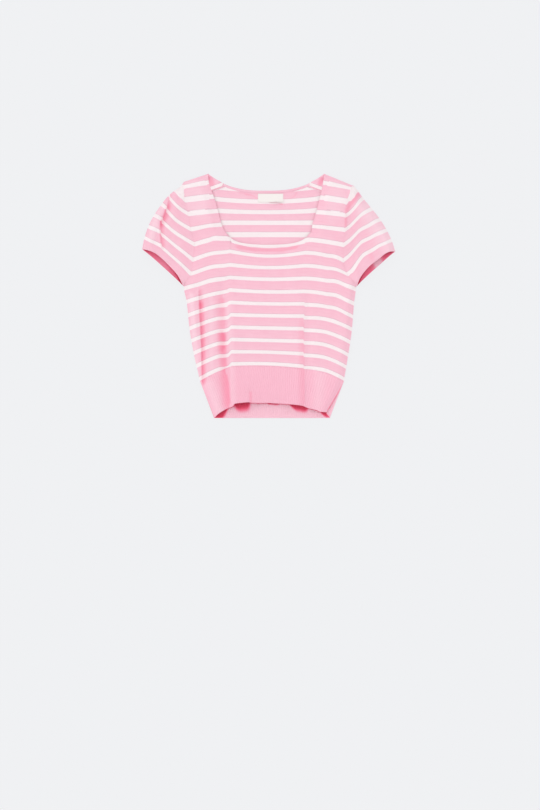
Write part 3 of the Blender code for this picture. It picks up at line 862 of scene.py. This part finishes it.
def makeBack():
    # a sheet between the two side lines, the hem line and the shoulders with the back neck between them
    spans = zip(back["rowShares"][:-1], back["rowShares"][1:], back["rowCounts"])
    share = np.concatenate([np.linspace(low, high, count)[:-1] for low, high, count in spans] + [[1.0]])
    courses = cloth["shoulder"] + (cloth["ribTop"] - cloth["shoulder"]) * share
    across = np.linspace(0, 1, back["columns"] + 1)
    left, right = np.stack(frontLine("left", courses), 1), np.stack(frontLine("right", courses), 1)
    peakLeft = backNeck["middleX"] - backNeck["halfWidth"]
    peakRight = backNeck["middleX"] + backNeck["halfWidth"]
    peakY = backNeck["bottomY"] + backNeck["round"] + backNeck["corner"]
    topX = left[0, 0] + (right[0, 0] - left[0, 0]) * across
    leftSlope = left[0, 1] + (peakY - left[0, 1]) * (topX - left[0, 0]) / (peakLeft - left[0, 0])
    rightSlope = right[0, 1] + (peakY - right[0, 1]) * (right[0, 0] - topX) / (right[0, 0] - peakRight)
    topY = np.where(topX < peakLeft, leftSlope, np.where(topX > peakRight, rightSlope, scoop(backNeck, topX)))
    bottomX = left[-1, 0] + (right[-1, 0] - left[-1, 0]) * across
    bottomY = np.full_like(bottomX, left[-1, 1])
    w, f = share[:, None], across[None, :]
    grid = np.zeros((len(courses), len(across), 3))
    for axis, top, bottom in ((0, topX, bottomX), (1, topY, bottomY)):
        sides = (1 - f) * left[:, axis][:, None] + f * right[:, axis][:, None]
        ends = (1 - w) * top[None, :] + w * bottom[None, :]
        ofCorners = ((1 - w) * ((1 - f) * left[0, axis] + f * right[0, axis])
                     + w * ((1 - f) * left[-1, axis] + f * right[-1, axis]))
        grid[:, :, axis] = sides + ends - ofCorners
    x, y = grid[:, :, 0], grid[:, :, 1]
    sag = back["sag"] * ((x - backNeck["middleX"]) / back["sagReach"]) ** 2 + back["sagRange"][0]
    sag = np.clip(sag, *back["sagRange"]) * smoothStep(*back["sagY"], y)
    seen = np.interp(sag - y, -np.array(back["courseY"]), back["courses"])
    towardSide = np.abs(2 * f - 1) ** back["toSides"]
    course = (1 - towardSide) * seen + towardSide * courses[:, None]
    below = scoop(backNeck, x) - y
    rollLeft, rollRight = back["rollEnds"]
    insideNeck = smoothStep(-1.0, 1.0, x - rollLeft) * smoothStep(1.0, -1.0, x - rollRight)
    rolled = np.sqrt(np.clip(1 - (2 * below / back["roll"] - 1) ** 2, 0, 1)) * insideNeck
    course = np.where((below < back["roll"]) & (insideNeck > 0.5), back["rollCourse"], course)
    raised = back["rollHeight"] * rolled
    for name, direction in (("flapLeft", 1), ("flapRight", -1)):
        ax, ay, bx, by = back[name]
        length = np.hypot(bx - ax, by - ay)
        above = direction * ((bx - ax) * (y - ay) - (by - ay) * (x - ax)) / length
        near = direction * (backNeck["middleX"] - x) > back["flapBeyond"]
        over = smoothStep(-back["flapOverlap"], back["flapEdge"] - back["flapOverlap"], above) * near
        course = np.where(over > 0.5, back["flapCourse"] - above / back["flapPitch"], course)
        raised = raised + back["flapRise"] * over * smoothStep(back["flapFade"], 0.0, above)
    wave = back["waveHeight"] * ripple(1.7 * x, 1.3 * y) * smoothStep(*back["waveY"], y)
    wave = np.maximum(wave, -back["waveDepth"]) + back["waveDepth"] * (y > back["waveY"][0])
    grid[:, :, 2] = raised * back["underside"]
    top = grid.copy()
    top[:, :, 2] = cloth["wall"] + raised + wave
    present = np.ones((len(courses) - 1, len(across) - 1), bool)
    bulge = np.full(x.shape, rimRound["sewn"])
    bulge[0, (topX > peakLeft) & (topX < peakRight)] = rimRound["open"]
    knit = np.stack([x, course], 2)
    # painted shade where the front covers the back, and the painted bands
    underFront = np.maximum.reduce([neckSide("a", y) - x, x - neckSide("b", y), scoop(frontNeck, x) - y])
    covered = smoothStep(0.0, back["coverFade"], underFront)
    outside = back["coveredPaintedShade"] * covered + back["openPaintedLight"] + bands(backPaintedShades, x, y)
    moreWhite = back["moreWhite"] * smoothStep(*back["moreWhiteY"], y)
    wall = wallMesh(top, grid, present, knit, bulge, outside, 0.0, moreWhite)
    piece = newPiece("back", wall, materials["back"])
    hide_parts("back_panel")
    flatArea(top, present)


def makeSleeve(side, name, node):
    rowCount = round((cloth["cuff"] - cloth["shoulder"]) / cloth["rowStep"])
    courses = np.linspace(cloth["shoulder"], cloth["cuff"], rowCount + 1)
    share = np.linspace(0, 1, sleeve["columns"] + 1) ** sleeve["towardFold"]
    angles = np.linspace(pi / 2, -pi / 2, sleeve["turnSteps"] + 1)[1:-1]
    outer, inner, knit = [], [], []
    for course in courses:  # over the top from the armhole, round the fold, and back along the underside
        _, _, length = sleevePoint(side, course, 0.0)
        start, end = cloth["seam"] / length, 1 - cloth["foldRadius"] / length
        q = end - (end - start) * share
        upper = q[::-1]
        x, y, _ = sleevePoint(side, course, upper)
        gap = lift(x, y)
        gap[-1] = cloth["seam"]
        turnX, turnY, _ = sleevePoint(side, course, end)
        nearX, nearY, _ = sleevePoint(side, course, end - 0.01)
        run = np.array([turnX - nearX, turnY - nearY])
        run = run / np.hypot(*run)
        bowed = 1 - (1 - sleeve["underBow"]) * smoothStep(sleeve["bendFrom"], cloth["underarm"], course)
        lowX, lowY, _ = sleevePoint(side, course, q, bowed)
        for rows, over, radius, low in (
            (outer, 2 * cloth["wall"], cloth["foldRadius"], 0.0),
            (inner, cloth["wall"], cloth["seam"] / 2, cloth["wall"]),
        ):
            out, high = radius * np.cos(angles), radius * np.sin(angles)
            rows.append(np.concatenate([
                np.stack([x, y, over + gap], 1),
                np.stack([turnX + run[0] * out, turnY + run[1] * out, cloth["foldRadius"] + high], 1),
                np.stack([lowX, lowY, np.full_like(lowX, low)], 1),
            ]))
        walked = np.cumsum(np.linalg.norm(np.diff(outer[-1][:, :2], axis=0), axis=1))
        knit.append(np.stack([np.concatenate([[0.0], walked]), np.full(len(walked) + 1, course)], 1))
    outer, inner, knit = np.array(outer), np.array(inner), np.array(knit)
    knit[:, :, 1] += bands(slips, outer[:, :, 0], outer[:, :, 1]) / cloth["stripePitch"]
    columnQ = np.concatenate([upper, np.ones(len(angles)), q])
    # painted shade on the sleeve's inside face, set along the cuff by the cuff table
    inward = (cloth["cuff"] - courses[:, None]) * sleeve["edgeCourse"]  # mm from the cuff's edge
    under = smoothThrough(cuffRise[side], 1, columnQ) - inward
    paintedCuffShade = smoothThrough(cuffPaintedShade[side], 1, columnQ) - sleeve["insidePaintedShade"]
    paintedCuffShade = paintedCuffShade + sleeve["brimPaintedShade"] * smoothStep(*sleeve["brimFade"], under)
    inside = sleeve["insidePaintedShade"] + paintedCuffShade * smoothStep(0, sleeve["paintedShadeFade"], inward)
    if side < 0:
        outer, inner, knit, inside = [grid[:, ::-1] for grid in (outer, inner, knit, inside)]
    present = np.ones((outer.shape[0] - 1, outer.shape[1] - 1), bool)
    bulge = np.full(outer.shape[:2], rimRound["sewn"])
    bulge[-1, :] = rimRound["cuff"]
    x, y = outer[:, :, 0], outer[:, :, 1]
    # shade and light painted on the outer face by the bands
    wall = wallMesh(outer, inner, present, knit, bulge, bands(paintedShades, x, y), inside, bands(whites, x, y))
    piece = newPiece(name, wall, materials["sleeve"])
    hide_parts(node)
    flatArea(outer, present)


def ribProfile(across):  # 1 on a rib, 0 in the valley between two
    return np.sqrt(np.abs(np.sin(pi * hem["ribs"] * across)))


pocket = {
    "plainPaintedLight": -0.15,       # painted light on the back rib's strip, away from the openings
    "underPaintedShade": 2.4,         # painted shade where the strip goes under the front
    "underFade": (-3.0, 0.2),
    "edgeFade": (-0.5, 2.0),
    "soft": 2.5,              # of an opening's sides, and how much softer they are for each mm down
    "softer": 0.25,
    "cornerX": 121.0,         # the strip is light down to a slanting line through here
    "cornerY": -250.0,
    "cornerSlope": 1.05,
}
# painted shade where one sees far into the hem's opening: x west, x east, how far these move inward for each
# mm down, depth below the front's edge of the full shade and of its fading, amount
pockets = np.array([
    (-118, -86, 0, 0.70, 12, 24, 2.5), (-77, -39, 0.60, 0.25, 8.6, 26, 2.5),
    (43, 86, 1.1, 0.60, 6, 19, 2.5), (-7, 27, 2, 2, 2.2, 5, 2.5),
    (-30, -15, 2, 2, 1.4, 3.4, 2.2), (108.5, 133, 1.2, 0, 8, 15, 2.5),
])


# shade painted on the back rib below the front's hem
def pocketPaintedShade(x, y):
    under = y - hemEdge(x)
    strip = frontRibEdge(y) - x  # above 0 under the front
    amount = pocket["underPaintedShade"] * smoothStep(*pocket["underFade"], under)
    amount = amount * smoothStep(*pocket["edgeFade"], strip)
    slant = y - pocket["cornerY"] + pocket["cornerSlope"] * (x - pocket["cornerX"])
    beyond = smoothStep(-1.0, 1.5, slant) * (strip < 0)
    soft = pocket["soft"] - pocket["softer"] * np.minimum(under, 0)
    for west, east, westSlope, eastSlope, full, faded, strength in pockets:
        near = smoothStep(-1, 1, (x - west + westSlope * under) / soft)
        near = near * smoothStep(-1, 1, (east + eastSlope * under - x) / soft)
        amount = np.maximum(amount, strength * near * smoothStep(-faded, -full, under) * (1 - beyond))
    return amount + pocket["plainPaintedLight"]


def frontRibEdge(y):  # right edge of the front rib
    topX, topY = frontLine("right", cloth["ribTop"])
    share = np.clip((topY - y) / (topY - hemEdge(hem["frontRight"])), 0, 1)
    return topX + (hem["frontRight"] - topX) * share + hem["rightBow"] * np.sin(pi * share)


def makeRib(inFront):
    across = np.linspace(0, 1, hem["ribs"] * hem["stepsToRib"] + 1)
    shares = np.linspace(0, 1, hem["rows"] + 1)
    bow = np.zeros_like(across)
    if inFront:
        topX, topY = frontPoint(4 * across, cloth["ribTop"])
        topY = topY - cloth["seam"]
        bottomX = hem["left"] + (hem["frontRight"] - hem["left"]) * across
        bottomY = hemEdge(bottomX)
        bow = hem["rightBow"] * np.clip(5 * across - 4, 0, 1)  # over the last fifth
    else:
        low, high = frontLine("left", cloth["ribTop"]), frontLine("right", cloth["ribTop"])
        topX = low[0] + (high[0] - low[0]) * across
        topY = np.full_like(topX, low[1] - cloth["seam"])
        bottomX = hem["left"] - hem["backSpread"]
        bottomX = bottomX + (hem["right"] - hem["left"] + 2 * hem["backSpread"]) * across
        bottomY = np.full_like(topX, hem["backY"] + hem["backRise"])
    down = shares[:, None]
    x = topX + (bottomX - topX) * down + bow * np.sin(pi * down)
    y = topY + (bottomY - topY) * down
    profile = ribProfile(across) + np.zeros_like(x)
    # shade and light painted on the faces; on the back rib, the shade of the hem's openings
    if inFront:
        base, ribHeight = cloth["wall"] + lift(x, y), hem["ribHeight"]
        outside, inside = bands(paintedShades, x, y), hem["insidePaintedShade"]
    else:
        base, ribHeight = np.zeros_like(x), hem["backRibHeight"]
        outside, inside = pocketPaintedShade(x, y), 0.0
    grid = np.stack([x, y, np.zeros_like(x)], 2)
    top = np.stack([x, y, base + cloth["wall"] + ribHeight * profile], 2)
    bottom = np.stack([x, y, base + hem["valleyRise"] * (1 - profile)], 2)
    knit = np.stack([across * hem["ribs"] + 0 * x, hem["firstCourse"] + down * hem["courses"] + 0 * x], 2)
    present = np.ones((len(shares) - 1, len(across) - 1), bool)
    bulge = np.full(x.shape, rimRound["sewn"])
    bulge[-1, :] = rimRound["open"]
    wall = wallMesh(top, bottom, present, knit, bulge, outside, inside)
    piece = newPiece("hemRibFront" if inFront else "hemRibBack", wall, materials["rib"])
    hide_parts("hem_rib_front" if inFront else "hem_rib_back")
    flatArea(grid, present)


label = {
    "x": 4.0,
    "y": 210.8,
    "width": 54.0,
    "height": 18.0,
    "thickness": 0.5,
    "columns": 54,
    "rows": 18,
    "gap": 0.55,          # over the back's wall
    "curl": 4.6,          # the loose edge stands up most at curlAt, over curlWidth of its width
    "curlAt": 0.72,
    "curlWidth": 0.22,
    "curlPower": 2.2,
    "lean": 0.6,
    "wave": 0.15,
    "waves": 17,
}


def makeLabel():
    f, w = np.meshgrid(np.linspace(0, 1, label["columns"] + 1), np.linspace(0, 1, label["rows"] + 1))
    x = label["x"] + (f - 0.5) * label["width"]
    y = label["y"] + (0.5 - w) * label["height"]
    loose = np.exp(-((f - label["curlAt"]) / label["curlWidth"]) ** 2) * w ** label["curlPower"]
    z = cloth["wall"] + label["gap"] + label["curl"] * loose + label["wave"] * np.sin(f * label["waves"])
    bottom = np.stack([x, y + label["lean"] * loose, z], 2)
    top = bottom + (0, 0, label["thickness"])
    present = np.ones((label["rows"], label["columns"]), bool)
    wall = wallMesh(top, bottom, present, np.stack([x, y], 2), np.full(x.shape, rimRound["ribbon"]))
    piece = newPiece("neckLabel", wall, materials["label"])
    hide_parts("neck_label")


makeFront()
makeBack()
makeSleeve(-1, "sleeveLeft", "sleeve_left")
makeSleeve(1, "sleeveRight", "sleeve_right")
makeRib(True)
makeRib(False)
makeLabel()
print("cloth made")

studio = {
    "floorSize": 9.0,
    "floorColour": (0.100, 0.101, 0.103, 1.0),
    "floorGlow": 0.768,            # the floor gives its own light too, so shadows on it stay faint
    "glowColour": (0.990, 1.0, 1.020, 1.0),
    "skyStrength": 1.01,
    "sunStrength": 0.39,
    "sunAngle": 50.0,              # degrees across, so its shadows are soft
    "sunFrom": (-0.75, 0.35, 1.00),
    "cameraHeight": 4.5,
    "cameraX": 0.0027,
    "cameraY": -0.2342,
    "pixel": 0.00215,              # metres of floor in one pixel of the 540 x 810 picture
    "pictureHeight": 810,
}


def makeStudio():
    scene = bpy.context.scene
    half = studio["floorSize"] / 2
    corners = [(-half, -half, 0), (half, -half, 0), (half, half, 0), (-half, half, 0)]
    mesh = bpy.data.meshes.new("floor")
    mesh.from_pydata(corners, [], [(0, 1, 2, 3)])
    shader = Shader("floorPaint")
    shader.finish(Base_Color=studio["floorColour"], Roughness=0.9, Specular_IOR_Level=0.0)
    shader.finish(Emission_Color=studio["glowColour"], Emission_Strength=studio["floorGlow"])
    mesh.materials.append(shader.material)
    placed("floor", mesh)
    world = bpy.data.worlds.new("studioSky")
    world.use_nodes = True
    background = world.node_tree.nodes["Background"]
    background.inputs["Color"].default_value = (1.0, 1.0, 1.0, 1.0)
    background.inputs["Strength"].default_value = studio["skyStrength"]
    scene.world = world
    lamp = bpy.data.lights.new("softSun", "SUN")
    lamp.energy = studio["sunStrength"]
    lamp.angle = radians(studio["sunAngle"])
    light = placed("softSun", lamp)
    light.rotation_euler = (-Vector(studio["sunFrom"])).to_track_quat("-Z", "Y").to_euler()
    camera = bpy.data.cameras.new("camera")
    camera.sensor_width = 36.0
    camera.lens = camera.sensor_width * studio["cameraHeight"] / (studio["pixel"] * studio["pictureHeight"])
    viewer = placed("camera", camera)
    viewer.location = (studio["cameraX"], studio["cameraY"], studio["cameraHeight"])
    scene.camera = viewer
    scene.view_settings.view_transform = "Standard"
    scene.view_settings.look = "None"


makeStudio()
print("studio made")
